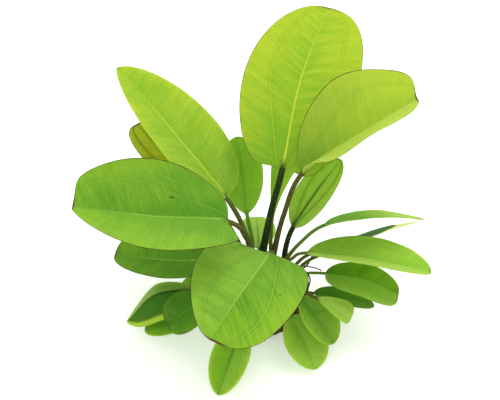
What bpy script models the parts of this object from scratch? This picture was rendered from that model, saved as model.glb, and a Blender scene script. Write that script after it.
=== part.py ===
"""A sword plant (echinodorus) lifted from its tray: root ball, crown and a rosette of leaves.

Metres, +Z up. The origin is at the middle of the root ball's flat underside, so the plant
stands on z = 0. Each leaf is one piece: a round stalk that widens into a thin folded blade.
"""

import math

import bmesh
import bpy
from mathutils import Vector

MM = 0.001

PLANT = "echinodorus_plant"

# Root ball, turned about Z: radius and height of its outline, top to bottom, in millimetres.
BALL_OUTLINE = [(0, 30), (12, 30), (18, 28.5), (22, 25), (23.5, 19), (23, 11), (21.5, 4), (20, 0),
                (0, 0)]
BALL_STEPS = 28

# Crown, the short stout stem on the root ball: radius and height, top to bottom, in millimetres.
CROWN_OUTLINE = [(0, 47.5), (2, 47), (5, 45), (7.6, 42), (9.8, 38), (11, 33), (11.5, 30.3), (0, 30.3)]
CROWN_STEPS = 20

# Every leaf, in millimetres. The stalk widens by the flare at its foot, which stands clear of the
# crown and leaves it square on. A swept base is fullest at lobe place, a share of the blade.
BLADE_THICKNESS = 0.9
FOOT_FLARE = 1.25
FOOT_CLEARANCE = 0.5
FOOT_STRAIGHT = 2.5
LOBE_PLACE = 0.09
LOBE_POWER = 1.2

# A section across the leaf: how far its points lie from the midrib towards the margins, the
# direction a margin point takes round the edge, and how many stalk radii the rib fades over.
SECTION_HALF = (-1.0, -0.5, 0.0, 0.5, 1.0)
EDGE_TURN = 72
RIB_REACH = 2.0

# The leaf's axis: steps to each stretch of the curve, and how many stretches are stalk.
CURVE_STEPS = 40
STALK_STRETCHES = 3
NO_CURL = 1e-6

LEAF_GREEN = (0.24, 0.45, 0.05)
ROOT_BROWN = (0.09, 0.06, 0.04)
CROWN_GREEN = (0.20, 0.24, 0.09)

# One row a leaf. heading is the compass direction it grows in, in degrees from +X towards +Y.
# foot is where it leaves the crown: its direction in degrees and its height. lengths are those of
# the stalk and of the blade. The axis has four stretches, the lower and upper half of the stalk,
# then the inner and outer half of the blade: lift is how steeply each climbs, and turn how far it
# swings to the left of the heading, in degrees. width is the blade's, stalk the petiole's
# diameter. fold lifts the left and the right half about the midrib, gather folds them further
# near the base, and curl bends them on towards the margin, in degrees. roll turns the blade about
# its midrib. halves and lobe make the left and right half wider and sweep their bases back. All
# lengths are millimetres.
LEAVES = {
    "leaf_back_tall": dict(
        heading=75, foot=(112, 43), lengths=(64, 107), lift=(75, 75, 40, 30), turn=(-15, -40, 0, -8),
        width=76, stalk=3.8, roll=(2, 0), fold=(12, 12), halves=(0.9, 0.93), lobe=(5, 9),
        base_round=0.45, tip_round=(0.48, 0.4)),
    "leaf_right_tall": dict(
        heading=10, foot=(66, 43), lengths=(66, 81), lift=(78, 70, 40, 28), turn=(10, 5, -5, 5),
        width=66, stalk=3.0, roll=(6, 2), fold=(48, 40), gather=(0, 20), wave=(0, 1),
        halves=(1.05, 1.0), base_round=0.75, tip_round=(0.56, 0.35)),
    "leaf_back_middle": dict(
        heading=78, foot=(80, 37), lengths=(18, 88), lift=(50, 30, 33, 33), turn=(10, 10, 8, -8),
        width=34, stalk=2.4, fold=(90, 0), curl=(-10, -10), halves=(0.8, 1.15), base_round=1.8),
    "leaf_back_right": dict(
        heading=38, foot=(34, 38), lengths=(26, 51), lift=(65, 60, 47, 40), turn=(15, 10, 0, 0),
        width=26, stalk=3.2, fold=(16, 16)),
    "leaf_right_arched": dict(
        heading=8, foot=(5, 42), lengths=(40, 63), lift=(52, 40, 6, -12), turn=(5, 0, 0, 0),
        width=28, stalk=2.2, roll=(-32, -28), fold=(12, 12), base_round=0.35),
    "leaf_right_slim": dict(
        heading=22, foot=(355, 36), lengths=(33, 47), lift=(35, 5, 2, 8), turn=(0, 0, 0, 0),
        width=17, stalk=2.0, roll=(-35, -35), fold=(12, 12)),
    "leaf_right_pale": dict(
        heading=33, foot=(338, 34), lengths=(37, 70), lift=(26, 3, -9, -5), turn=(-5, -5, 5, -5),
        width=20, stalk=2.0, roll=(-35, -35), fold=(12, 12)),
    "leaf_right_broad": dict(
        heading=350, foot=(325, 44), lengths=(23, 76), lift=(38, 32, 2, -8), turn=(5, 5, 0, 0),
        width=45, stalk=2.0, roll=(-20, -18), fold=(20, 20), tip_round=(0.5, 0.5)),
    "leaf_right_low": dict(
        heading=348, foot=(322, 37), lengths=(29, 47), lift=(22, 12, 0, -22), turn=(5, 0, 0, 0),
        width=34, stalk=1.8, roll=(-6, -6), fold=(14, 8), halves=(0.8, 1.08), base_round=0.42,
        tip_round=(0.3, 0.3)),
    "leaf_right_under": dict(
        heading=3, foot=(318, 34), lengths=(22, 40), lift=(-20, -10, -15, -20), turn=(-20, -5, 0, 0),
        width=25, stalk=1.8, roll=(-10, -10), halves=(0.75, 1.0)),
    "leaf_front_right_small": dict(
        heading=338, foot=(303, 38), lengths=(30, 26), lift=(12, 5, -20, -28), turn=(-25, -15, 0, 0),
        width=20, stalk=1.8, roll=(-5, 0), halves=(1.0, 0.7), base_round=1.1, tip_round=(0.3, 0.3)),
    "leaf_front_right": dict(
        heading=318, foot=(290, 34), lengths=(21, 34), lift=(15, -5, -32, -42), turn=(5, 5, 0, 0),
        width=25, stalk=2.0),
    "leaf_front_right_low": dict(
        heading=300, foot=(271, 36), lengths=(25, 36), lift=(-15, -50, -36, -30), turn=(15, 10, 5, -5),
        width=28, stalk=2.0),
    "leaf_front_broad": dict(
        heading=245, foot=(268, 42.5), lengths=(28, 76), lift=(70, 65, 5, -10), turn=(30, 35, 0, -5),
        width=70, stalk=3.2, fold=(0, 0), halves=(0.95, 1.12), lobe=(2, 16),
        base_round=0.26, tip_round=(0.4, 0.68)),
    "leaf_front_low": dict(
        heading=246, foot=(255, 33), lengths=(29, 44), lift=(-12, -20, -30, -37), turn=(0, -5, 0, 0),
        width=24, stalk=2.0, tip_round=(0.6, 0.6)),
    "leaf_front_left": dict(
        heading=199, foot=(238, 36), lengths=(34, 31), lift=(0, 5, -24, -31), turn=(10, 5, 0, 0),
        width=34, stalk=2.0, fold=(11, 11), tip_round=(0.45, 0.3)),
    "leaf_front_left_under": dict(
        heading=186, foot=(218, 33), lengths=(34, 41), lift=(-17, -17, -20, -20), turn=(25, 10, 0, 0),
        width=27, stalk=1.8),
    "leaf_left_drooping": dict(
        heading=188, foot=(202, 37), lengths=(35, 54), lift=(-12, -10, -4, -46), turn=(0, 0, 0, 5),
        width=34, stalk=2.0, fold=(-30, -14), halves=(0.98, 0.92), base_round=0.5,
        tip_round=(0.6, 0.45)),
    "leaf_left_small": dict(
        heading=166, foot=(186, 34), lengths=(26, 24), lift=(-22, -28, -24, -15), turn=(0, 0, 0, 0),
        width=22, stalk=1.8),
    "leaf_left_low": dict(
        heading=170, foot=(178, 38), lengths=(18, 72), lift=(30, 5, -9, -2), turn=(0, 0, 0, 0),
        width=43, stalk=2.2, base_round=0.4, tip_round=(0.5, 0.32)),
    "leaf_left_under": dict(
        heading=151, foot=(162, 34), lengths=(37, 56), lift=(15, -2, -16, -16), turn=(0, 0, 0, 0),
        width=28, stalk=2.0),
    "leaf_left_broad": dict(
        heading=178, foot=(215, 42.5), lengths=(52, 91), lift=(75, 58, 8, 5), turn=(35, 25, 5, -2),
        width=68, stalk=3.0, roll=(-8, -22, 0), fold=(32, 24), lobe=(12, -5),
        halves=(0.9, 1.0), base_round=0.35, tip_round=(0.5, 0.3)),
    "leaf_back_left_young": dict(
        heading=134, foot=(156, 37), lengths=(54, 69), lift=(50, 28, 18, 18), turn=(5, 0, 0, 0),
        width=33, stalk=2.4, tip_round=(0.4, 0.4)),
    "leaf_back_left_tall": dict(
        heading=138, foot=(168, 42), lengths=(50, 105), lift=(72, 58, 35, 26), turn=(15, 10, 2, -2),
        width=58, stalk=3.0, fold=(22, 18), gather=(30, 0), halves=(0.7, 0.9), base_round=0.4,
        tip_round=(0.7, 0.6)),
    "leaf_back_upright": dict(
        heading=100, foot=(145, 40), lengths=(33, 48), lift=(70, 64, 46, 46), turn=(20, 15, 0, 0),
        width=26, stalk=2.4, base_round=0.65),
    "leaf_back_low": dict(
        heading=92, foot=(110, 36), lengths=(13, 57), lift=(0, -5, -20, -20), turn=(5, 5, 0, 0),
        width=24, stalk=2.2),
}

# What a leaf is unless its row says otherwise. base_round and tip_round are how blunt its ends are,
# nearer 0 for blunter, and wave is how high its margins ripple, with WAVES ripples to a blade.
# The gather fades out over the first GATHER_REACH of the blade.
PLAIN_LEAF = dict(roll=(0, 0), fold=(18, 18), curl=(-12, -12), gather=(0, 0), halves=(1.0, 1.0),
                  lobe=(0, 0), wave=(0, 0), base_round=0.55, tip_round=(0.55, 0.55))
GATHER_REACH = 0.35
WAVES = 2.0
WAVE_LAG = 0.37

# How finely a leaf's skin is cut: rings along the stalk and along the blade.
LARGE_LEAF_WIDTH = 40
LARGE_RINGS = (6, 14)
SMALL_RINGS = (4, 10)


def clear_scene():
    for item in list(bpy.data.objects):
        bpy.data.objects.remove(item)


def material(name, colour, roughness):
    made = bpy.data.materials.new(name)
    made.use_nodes = True
    shader = made.node_tree.nodes["Principled BSDF"]
    shader.inputs["Base Color"].default_value = (*colour, 1.0)
    shader.inputs["Roughness"].default_value = roughness
    shader.inputs["Metallic"].default_value = 0.0
    return made


def place(collection, name, mesh, finish):
    thing = bpy.data.objects.new(name, mesh)
    mesh.materials.append(finish)
    collection.objects.link(thing)
    return thing


def turned(collection, name, outline, steps, finish):
    """A solid turned about Z, from its outline (radius, height) in millimetres, top to bottom."""
    mesh = bpy.data.meshes.new(name)
    points = [(radius * MM, 0.0, height * MM) for radius, height in outline]
    mesh.from_pydata(points, [(i, i + 1) for i in range(len(points) - 1)], [])
    thing = place(collection, name, mesh, finish)
    screw = thing.modifiers.new("Turn", "SCREW")
    screw.axis = "Z"
    screw.steps = steps
    screw.render_steps = steps
    screw.use_merge_vertices = True
    screw.merge_threshold = 0.0001
    screw.use_smooth_shade = True
    return thing


def crown_side(height):
    """How wide the crown is at a height, in millimetres, and which way its side faces there."""
    for (r1, z1), (r2, z2) in zip(CROWN_OUTLINE, CROWN_OUTLINE[1:]):
        if z2 <= height <= z1 and z1 > z2:
            facing = Vector((z1 - z2, r2 - r1)).normalized()
            return r1 + (r2 - r1) * (z1 - height) / (z1 - z2), facing
    raise ValueError(f"no crown at {height} mm")


def smooth_curve(points, steps):
    """Points along a Catmull-Rom curve through the given ones, steps to each stretch."""
    held = [2 * points[0] - points[1], *points, 2 * points[-1] - points[-2]]
    line = []
    for a, b, c, d in zip(held, held[1:], held[2:], held[3:]):
        for step in range(steps):
            u = step / steps
            line.append(0.5 * (2 * b + (c - a) * u + (2 * a - 5 * b + 4 * c - d) * u * u
                               + (3 * b - a - 3 * c + d) * u ** 3))
    line.append(points[-1].copy())
    return line


def walk(line, share):
    """The point and the direction at a share of the line's length."""
    spans = [(q - p).length for p, q in zip(line, line[1:])]
    left = share * sum(spans)
    for p, q, span in zip(line, line[1:], spans):
        if left <= span:
            return p.lerp(q, left / span), (q - p).normalized()
        left -= span
    return line[-1].copy(), (line[-1] - line[-2]).normalized()


def between(values, share):
    """A value along a list of two or more that are evenly spaced."""
    place_in = share * (len(values) - 1)
    first = min(int(place_in), len(values) - 2)
    return values[first] + (values[first + 1] - values[first]) * (place_in - first)


def half_width(leaf, share, side):
    """The width of one half of the blade, in millimetres, at a share of its length from the base."""
    base, tip = leaf["base_round"], leaf["tip_round"][side]
    peak = base / (base + tip)
    full = peak ** base * (1 - peak) ** tip
    broad = leaf["width"] / 2 * leaf["halves"][side]
    return broad * max(share, 0) ** base * max(1 - share, 0) ** tip / full


def arc(fold, curl, reach):
    """Sideways and upwards travel along a half blade that leaves at fold and bends by curl."""
    if abs(curl) < NO_CURL:
        return math.cos(fold) * reach, math.sin(fold) * reach
    end = fold + curl * reach
    return (math.sin(end) - math.sin(fold)) / curl, (math.cos(fold) - math.cos(end)) / curl


def sheet_offset(leaf, share, across):
    """Where a blade point lies from the midrib: to the left, up and forward, in millimetres."""
    side = 0 if across > 0 else 1
    reach = abs(across)
    width = half_width(leaf, share, side)
    ungathered = min(share / GATHER_REACH, 1.0)
    ungathered = ungathered * ungathered * (3 - 2 * ungathered)
    fold = math.radians(leaf["fold"][side] + leaf["gather"][side] * (1 - ungathered))
    out, up = arc(fold, math.radians(leaf["curl"][side]), reach)
    turn = WAVES * share + (WAVE_LAG if side == 0 else 0)
    ripple = leaf["wave"][side] * reach ** 2 * math.sin(math.tau * turn) * 2 * width / leaf["width"]
    near_base = share / LOBE_PLACE * math.exp(1 - share / LOBE_PLACE)
    swept = leaf["lobe"][side] * near_base * reach ** LOBE_POWER
    return math.copysign(width * out, across), width * up + ripple, -swept


def leaf_rings(leaf):
    """The closed sections of a leaf, from its foot to its tip, as lists of points."""
    heading = math.radians(leaf["heading"])
    left = Vector((-math.sin(heading), math.cos(heading), 0))
    stalk = leaf["stalk"] / 2

    bearing, height = leaf["foot"]
    radius, (outward, upward) = crown_side(height)
    bearing = math.radians(bearing)
    around = Vector((math.cos(bearing), math.sin(bearing), 0))
    foot = around * (radius + FOOT_CLEARANCE) + Vector((0, 0, height))
    route = [foot, foot + FOOT_STRAIGHT * (around * outward + Vector((0, 0, upward)))]
    stalk_length, blade_length = leaf["lengths"]
    lengths = (stalk_length, stalk_length, blade_length, blade_length)
    point = foot
    for length, lift, turn in zip(lengths, leaf["lift"], leaf["turn"]):
        lift = math.radians(lift)
        way = heading + math.radians(turn)
        level = Vector((math.cos(way), math.sin(way), 0)) * math.cos(lift)
        point = point + (level + Vector((0, 0, math.sin(lift)))) * length / 2
        route.append(point)
    line = smooth_curve(route, CURVE_STEPS)
    blade_start = STALK_STRETCHES * CURVE_STEPS
    stalk_line, blade_line = line[:blade_start + 1], line[blade_start:]

    stalk_count, blade_count = LARGE_RINGS if leaf["width"] > LARGE_LEAF_WIDTH else SMALL_RINGS
    stations = [(stalk_line, i / stalk_count, 0.0) for i in range(stalk_count)]
    shares = [(1 - math.cos(math.pi * i / blade_count)) / 2 for i in range(blade_count + 1)]
    stations += [(blade_line, share, share) for share in shares]

    rings = []
    for index, (path, share, along) in enumerate(stations):
        point, ahead_here = walk(path, share)
        flat = (left - ahead_here * left.dot(ahead_here)).normalized()
        roll = math.radians(between(leaf["roll"], along))
        up = ahead_here.cross(flat)
        side_axis = math.cos(roll) * flat + math.sin(roll) * up
        normal = ahead_here.cross(side_axis)
        rib = stalk * (1 - along) + BLADE_THICKNESS / 2 * along
        if index < stalk_count:
            rib = stalk * (1 + (FOOT_FLARE - 1) * (1 - share) ** 2)
        rows = []
        for face in (1, -1):
            row = []
            for across in SECTION_HALF:
                out, lift, forward = (0, 0, 0)
                if across and along:
                    out, lift, forward = sheet_offset(leaf, along, across)
                distance = half_width(leaf, along, 0 if across > 0 else 1) * abs(across)
                fade = max(0.0, 1 - distance / (RIB_REACH * stalk)) ** 2
                radius = BLADE_THICKNESS / 2 + (rib - BLADE_THICKNESS / 2) * fade
                angle = math.radians(90 - EDGE_TURN * across)
                shift_out = radius * math.cos(angle)
                shift_up = radius * math.sin(angle) * face
                row.append(point + side_axis * (out + shift_out) + normal * (lift + shift_up)
                           + ahead_here * forward)
            rows.append(row)
        rings.append([p * MM for p in rows[0] + rows[1][::-1]])
    return rings


def loft(collection, name, rings, finish):
    """A closed skin over rings of the same number of points, capped at both ends."""
    shape = bmesh.new()
    loops = [[shape.verts.new(p) for p in ring] for ring in rings]
    count = len(rings[0])
    for lower, upper in zip(loops, loops[1:]):
        for i in range(count):
            j = (i + 1) % count
            shape.faces.new((lower[i], lower[j], upper[j], upper[i]))
    shape.faces.new(loops[0][::-1])
    shape.faces.new(loops[-1])
    bmesh.ops.recalc_face_normals(shape, faces=shape.faces)
    mesh = bpy.data.meshes.new(name)
    shape.to_mesh(mesh)
    shape.free()
    mesh.shade_smooth()
    return place(collection, name, mesh, finish)


def main():
    clear_scene()
    collection = bpy.data.collections.new(PLANT)
    bpy.context.scene.collection.children.link(collection)

    root_finish = material("root_ball", ROOT_BROWN, 0.9)
    crown_finish = material("crown", CROWN_GREEN, 0.7)
    turned(collection, "root_ball", BALL_OUTLINE, BALL_STEPS, root_finish)
    turned(collection, "crown", CROWN_OUTLINE, CROWN_STEPS, crown_finish)

    for name, row in LEAVES.items():
        leaf = {**PLAIN_LEAF, **row}
        loft(collection, name, leaf_rings(leaf), material(name, LEAF_GREEN, 0.45))


main()
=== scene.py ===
# %% [markdown]
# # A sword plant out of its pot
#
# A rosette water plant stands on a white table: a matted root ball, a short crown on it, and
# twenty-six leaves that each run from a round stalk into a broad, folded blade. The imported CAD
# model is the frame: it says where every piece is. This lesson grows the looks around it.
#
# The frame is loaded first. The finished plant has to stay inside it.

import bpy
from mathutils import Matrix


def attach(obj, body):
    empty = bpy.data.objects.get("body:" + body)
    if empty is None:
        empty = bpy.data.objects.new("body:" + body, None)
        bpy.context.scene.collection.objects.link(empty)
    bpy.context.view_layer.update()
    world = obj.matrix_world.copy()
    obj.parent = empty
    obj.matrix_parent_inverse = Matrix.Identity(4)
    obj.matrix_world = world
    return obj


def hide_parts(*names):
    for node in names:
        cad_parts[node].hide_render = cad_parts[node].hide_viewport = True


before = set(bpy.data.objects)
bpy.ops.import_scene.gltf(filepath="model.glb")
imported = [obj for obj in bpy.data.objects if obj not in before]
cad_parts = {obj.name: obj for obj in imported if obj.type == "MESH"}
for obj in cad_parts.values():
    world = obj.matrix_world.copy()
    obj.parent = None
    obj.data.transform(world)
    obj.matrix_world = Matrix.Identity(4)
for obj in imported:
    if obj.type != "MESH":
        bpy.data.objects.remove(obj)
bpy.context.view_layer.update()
print("CAD nodes:", len(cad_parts))

# %% Tools and units
import math
from functools import partial

import bmesh
import bpy
from mathutils import Vector, noise

MM = 0.001
scene = bpy.context.scene


def placed(name, data):
    """An object made of the data, linked to the scene."""
    thing = bpy.data.objects.new(name, data)
    scene.collection.objects.link(thing)
    return thing


# %% [markdown]
# ## The camera
#
# The picture looks down on the plant at forty degrees, from far enough away that the leaves
# hardly shrink with distance. A longer lens from farther off would look the same, so the
# distance is the one at which the root ball has its real width.

# %% Camera
CAMERA_PLACE = (-11.1 * MM, -534.6 * MM, 543.6 * MM)
CAMERA_TILT = math.radians(50)
CAMERA_LENS = 85
CAMERA_NEAREST = 0.01

camera = placed("camera", bpy.data.cameras.new("camera"))
camera.data.lens = CAMERA_LENS
camera.data.clip_start = CAMERA_NEAREST
camera.location = CAMERA_PLACE
camera.rotation_euler = (CAMERA_TILT, 0, 0)
scene.camera = camera
print("camera looks down at", 90 - math.degrees(CAMERA_TILT), "degrees")

# %% [markdown]
# ## Sums in a node tree
#
# The leaves are shaped by a Geometry Nodes tree and coloured by shader trees, and both are
# mostly arithmetic. Dragging hundreds of Math nodes would hide the rule that they follow, so
# one small class wraps a socket: a sum on it adds the node that works it out. Numbers go
# through Math, vectors through Vector Math, and every other node comes from its node method.

# %% A socket that does sums
OPAQUE = 1.0


class Wire:
    """An output socket. Python sums on it become nodes of its tree."""

    def __init__(self, socket):
        self.socket = socket

    @staticmethod
    def node(tree, kind, sockets=None, output=0, **settings):
        """Adds a node: its settings first, then its sockets by name or number."""
        made = tree.nodes.new(kind)
        for name, value in settings.items():
            setattr(made, name, value)
        for name, value in (sockets or {}).items():
            socket = made.inputs[name]
            if isinstance(value, Wire):
                tree.links.new(value.socket, socket)
            else:
                socket.default_value = (*value, OPAQUE) if socket.type == "RGBA" else value
        return Wire(made.outputs[output]) if made.outputs else None

    def add_node(self, kind, sockets=None, output=0, **settings):
        return Wire.node(self.socket.id_data, kind, sockets, output, **settings)

    def is_vector(self):
        return self.socket.type == "VECTOR"

    def math(self, operation, *others, swap=False):
        values = [self, *others]
        if swap:
            values.reverse()
        vector = any(isinstance(value, Wire) and value.is_vector() for value in values)
        kind = "ShaderNodeVectorMath" if vector else "ShaderNodeMath"
        return self.add_node(kind, dict(enumerate(values)), operation=operation)

    def __add__(self, other):
        return self.math("ADD", other)

    __radd__ = __add__

    def __sub__(self, other):
        return self.math("SUBTRACT", other)

    def __rsub__(self, other):
        return self.math("SUBTRACT", other, swap=True)

    def __mul__(self, other):
        if self.is_vector():
            return self.add_node("ShaderNodeVectorMath", {0: self, 3: other}, operation="SCALE")
        if isinstance(other, Wire) and other.is_vector():
            return other * self
        return self.math("MULTIPLY", other)

    __rmul__ = __mul__

    def __truediv__(self, other):
        return self.math("DIVIDE", other)

    def __rtruediv__(self, other):
        return self.math("DIVIDE", other, swap=True)

    def __neg__(self):
        return self * -1

    def __pow__(self, other):
        return self.math("POWER", other)

    def __abs__(self):
        return self.math("ABSOLUTE")

    def above(self, limit):
        """1 where the value is over the limit, else 0."""
        return self.math("GREATER_THAN", limit)

    def held(self, low=0.0, high=1.0):
        """The value, kept between low and high."""
        return self.math("MAXIMUM", low).math("MINIMUM", high)

    def smooth(self, low, high):
        """A soft step: 0 up to low, 1 from high on."""
        sockets = {0: self, 1: low, 2: high}
        return self.add_node("ShaderNodeMapRange", sockets, interpolation_type="SMOOTHSTEP")

    def pick(self, off, on):
        """off where the value is 0, on where it is 1, and a blend between."""
        return off + (on - off) * self

    def dot(self, other):
        return self.add_node("ShaderNodeVectorMath", {0: self, 1: other}, 1, operation="DOT_PRODUCT")

    def cross(self, other):
        return self.math("CROSS_PRODUCT", other)

    def unit(self):
        return self.math("NORMALIZE")

    def parts(self):
        """The x, y and z of a vector."""
        first = self.add_node("ShaderNodeSeparateXYZ", {0: self})
        return [Wire(socket) for socket in first.socket.node.outputs]

    def noise(self, scale, detail=2.0, roughness=0.5):
        """Soft random values around 0.5, at a vector's place."""
        sockets = {"Vector": self, "Scale": scale, "Detail": detail, "Roughness": roughness}
        return self.add_node("ShaderNodeTexNoise", sockets)


def vector(x, y, z):
    """A vector from three values, of which at least one is a Wire."""
    tree = next(value.socket.id_data for value in (x, y, z) if isinstance(value, Wire))
    return Wire.node(tree, "ShaderNodeCombineXYZ", {0: x, 1: y, 2: z})


# %% [markdown]
# ## Running a geometry tree
#
# A geometry tree could stay live on its object, but the frame wants plain meshes whose place is
# in their vertices. So each tree runs once, on a throwaway object, and its result is kept.

# %% Trees with named inputs
SOCKET_TYPES = {float: "NodeSocketFloat", int: "NodeSocketInt", tuple: "NodeSocketVector"}


def geometry_tree(name, inputs):
    """A geometry tree with a geometry, a material and the named inputs, and a way to read them."""
    tree = bpy.data.node_groups.new(name, "GeometryNodeTree")
    tree.interface.new_socket("Geometry", in_out="INPUT", socket_type="NodeSocketGeometry")
    for key, value in inputs.items():
        made = tree.interface.new_socket(key, in_out="INPUT", socket_type=SOCKET_TYPES[type(value)])
        made.default_value = value
    tree.interface.new_socket("Material", in_out="INPUT", socket_type="NodeSocketMaterial")
    tree.interface.new_socket("Geometry", in_out="OUTPUT", socket_type="NodeSocketGeometry")
    entry = tree.nodes.new("NodeGroupInput")
    return tree, lambda key: Wire(entry.outputs[key])


def give_out(tree, geometry, material):
    """Ends a tree: instances become real, and the faces get their material."""
    real = Wire.node(tree, "GeometryNodeRealizeInstances", {0: geometry})
    dressed = Wire.node(tree, "GeometryNodeSetMaterial", {"Geometry": real, "Material": material})
    Wire.node(tree, "NodeGroupOutput", {0: dressed})


def grow(name, seed_mesh, tree, values):
    """Runs a tree on a mesh and returns the result as a plain object."""
    source = placed(name + "_seed", seed_mesh)
    modifier = source.modifiers.new(tree.name, "NODES")
    modifier.node_group = tree
    for item in tree.interface.items_tree:
        if item.in_out == "INPUT" and item.name in values:
            modifier[item.identifier] = values[item.name]
    graph = bpy.context.evaluated_depsgraph_get()
    mesh = bpy.data.meshes.new_from_object(source.evaluated_get(graph), depsgraph=graph)
    source.modifiers.remove(modifier)
    bpy.data.objects.remove(source)
    mesh.name = name
    return placed(name, mesh)


def keep_attributes(tree, geometry, values):
    """Stores named vectors on every point, for a material to read."""
    for name, value in values.items():
        sockets = {"Geometry": geometry, "Name": name, "Value": value}
        geometry = Wire.node(tree, "GeometryNodeStoreNamedAttribute", sockets,
                             data_type="FLOAT_VECTOR", domain="POINT")
    return geometry


# %% [markdown]
# ## The shape of a leaf
#
# A sword plant's leaf grows as one piece: a round stalk that flattens into a blade, with a rib
# down its middle and veins that run from base to tip. Sculpting twenty-six of them would take
# long and they would not match, so one tree grows them all. It lays a grid of rows and columns
# along an axis: the columns go once round the leaf, over the top and back underneath.
#
# Across the blade, t runs from 1 at the left margin to -1 at the right one. Each half leaves the
# midrib at its fold angle and bends on by its curl, and at the base it is gathered, which means
# folded further. Along the blade, s runs from 0 at the base to 1 at the tip, and a half is as
# wide as s ** base * (1 - s) ** tip says. A lobe sweeps the base of a half back past the stalk,
# and a crest sweeps its far end forwards past the tip.

# %% The leaf tree
NO_MARK = (9.0, 9.0, 0.0)
HALF_INPUTS = {
    "Width": 0.02, "Tip Round": 0.5, "Fold": 0.2, "Curl": -0.2, "Gather": 0.0, "Lobe": 0.0,
    "Crest": 0.0, "Wave": 0.0,
}
LOOK_INPUTS = {
    "Tone": (0.5, 0.0, 0.0), "Stalk Tone": (0.5, 0.0, 0.0), "Veins": (0.0, 0.0, 0.0),
    "Sides": (0.0, 0.0, 0.0), "Grain": (0.0, 1.0, 0.0),
}
LEAF_INPUTS = {
    "Left": (0.0, 1.0, 0.0), "Blade Start": 0.5, "Blade Length": 0.08, "Stalk Rows": 30,
    "Blade Rows": 80, "Columns": 80, "Stalk Radius": 0.0015, "Base Round": 0.5,
    "Lobe Place": 0.09, "Base Roll": 0.0, "Middle Roll": 0.0, "Tip Roll": 0.0, "Seed": 1.0,
    "Mark": NO_MARK, **LOOK_INPUTS,
    **{f"{side} {name}": value for side in ("Left", "Right") for name, value in HALF_INPUTS.items()},
}
ARC_STEPS = 8
BLADE_THICKNESS = 0.45 * MM
BLADE_BEGINS = (3 * MM, 9 * MM)
FOOT_FLARE = 0.5
FLARE_POWER = 4
RIB_REACH = 2.2
RIB_TOP_END = 0.14
RIB_BLEND = 0.3
RIB_LINE = (0.03, 0.2)
RIB_LINE_WIDTH = 0.7
RIB_GROOVE = 0.25 * MM
GATHER_REACH = 0.35
CREST_PLACE = 0.05
SWEEP_POWER = 1.2
ROUND_COLUMNS = 0.5
WAVES = 2.0
WAVE_LAG = 0.37
FLUTTER = 0.5 * MM
FLUTTER_LENGTH = 14 * MM
SWELL_LENGTH = 30 * MM
INNER_VEIN = (0.26, 0.36)
OUTER_VEIN = (0.56, 0.27)
VEINS_SPREAD_BY = 0.75
VEIN_GROOVE = 0.16 * MM
VEIN_WIDTH = 1.1 * MM
OUTER_GROOVE_SHARE = 0.7
MERGE = 0.0001 * MM
MARGIN_SNAP = 0.00001
ROUNDING = 0.0005


def side_vein(s, course):
    """How far out a side vein runs, as a share of the half blade."""
    at_base, spread = course
    return at_base + s.smooth(0.0, VEINS_SPREAD_BY) * spread


def ridge(distance, width):
    """1 on a line, falling smoothly to 0 about a width away from it."""
    return (-(distance / width) ** 2).math("EXPONENT")


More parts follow.
